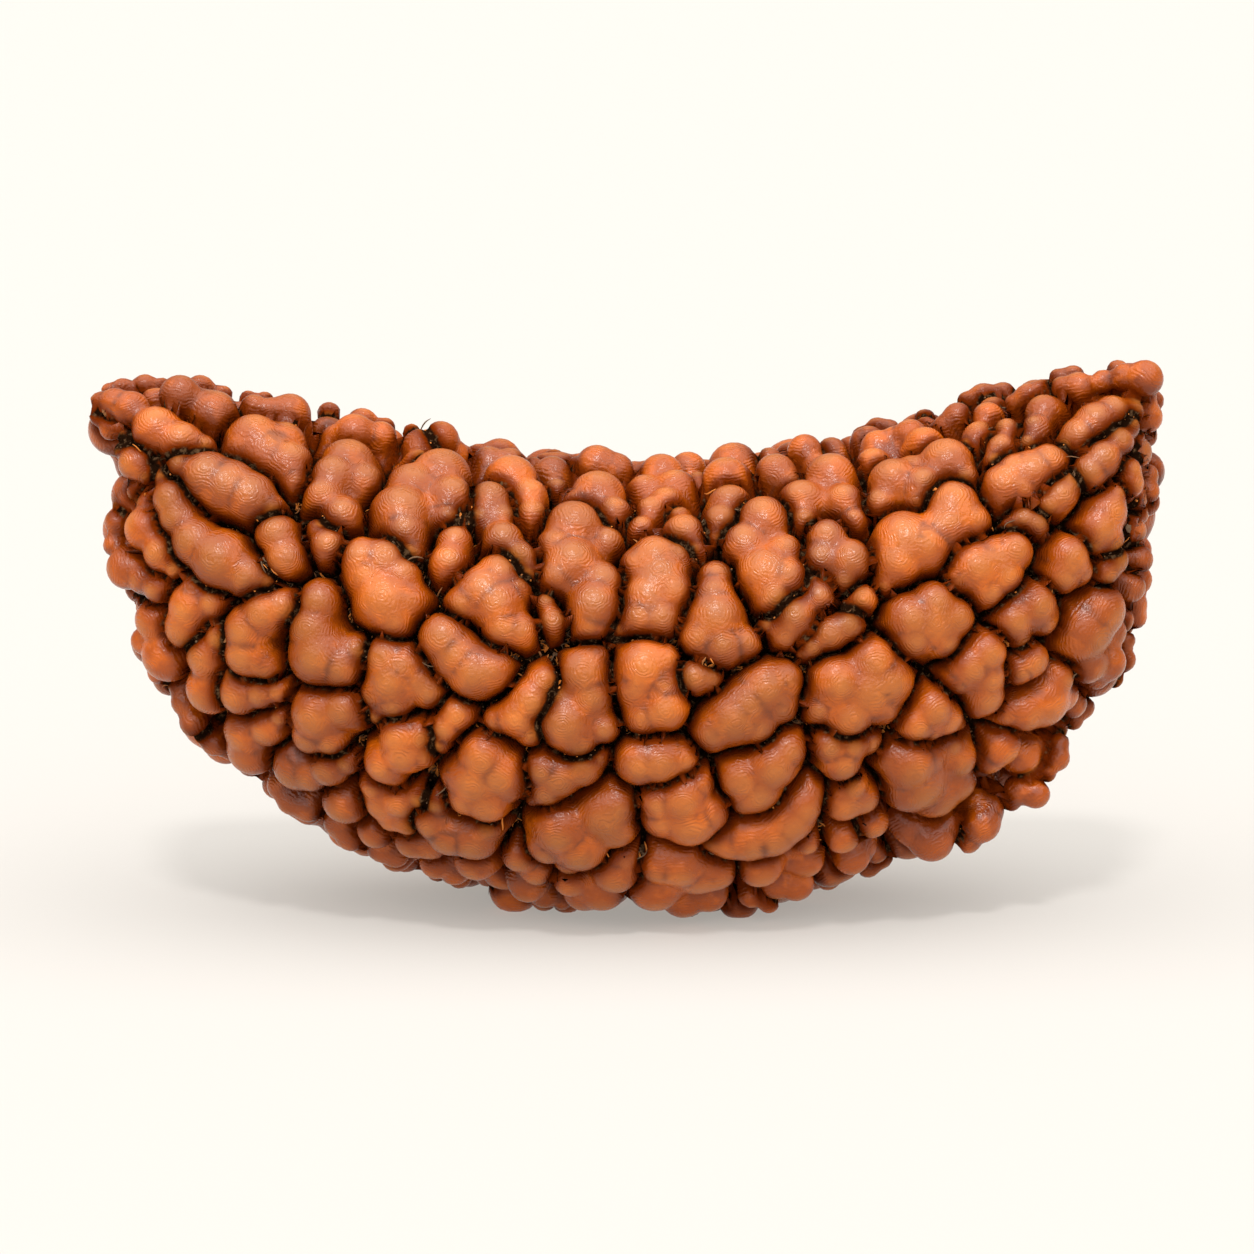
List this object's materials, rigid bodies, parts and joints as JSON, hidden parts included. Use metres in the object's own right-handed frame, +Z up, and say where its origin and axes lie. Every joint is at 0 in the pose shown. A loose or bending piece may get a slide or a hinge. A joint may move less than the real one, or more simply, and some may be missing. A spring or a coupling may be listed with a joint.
{
  "type": "one mukhi rudraksha seed",
  "caption": "Half-moon rudraksha seed stone, a plump crescent raised all over in knobbly lobes parted by deep dark furrows, resting on its round belly.",
  "frame": {"origin": "centre of the footprint, on the ground that the belly rests on", "axes": "+X along the length from horn to horn, +Y through the thickness towards the back, +Z up from the belly to the hollow edge"},
  "size_m": [0.03, 0.0126, 0.0155],
  "materials": {
    "seed_shell": "woody stone of a dried fruit, satin from handling, reddish brown with paler tops and near-black furrows"
  },
  "bodies": {
    "root": {"seed_stone": "seed_shell"}
  },
  "joints": []
}
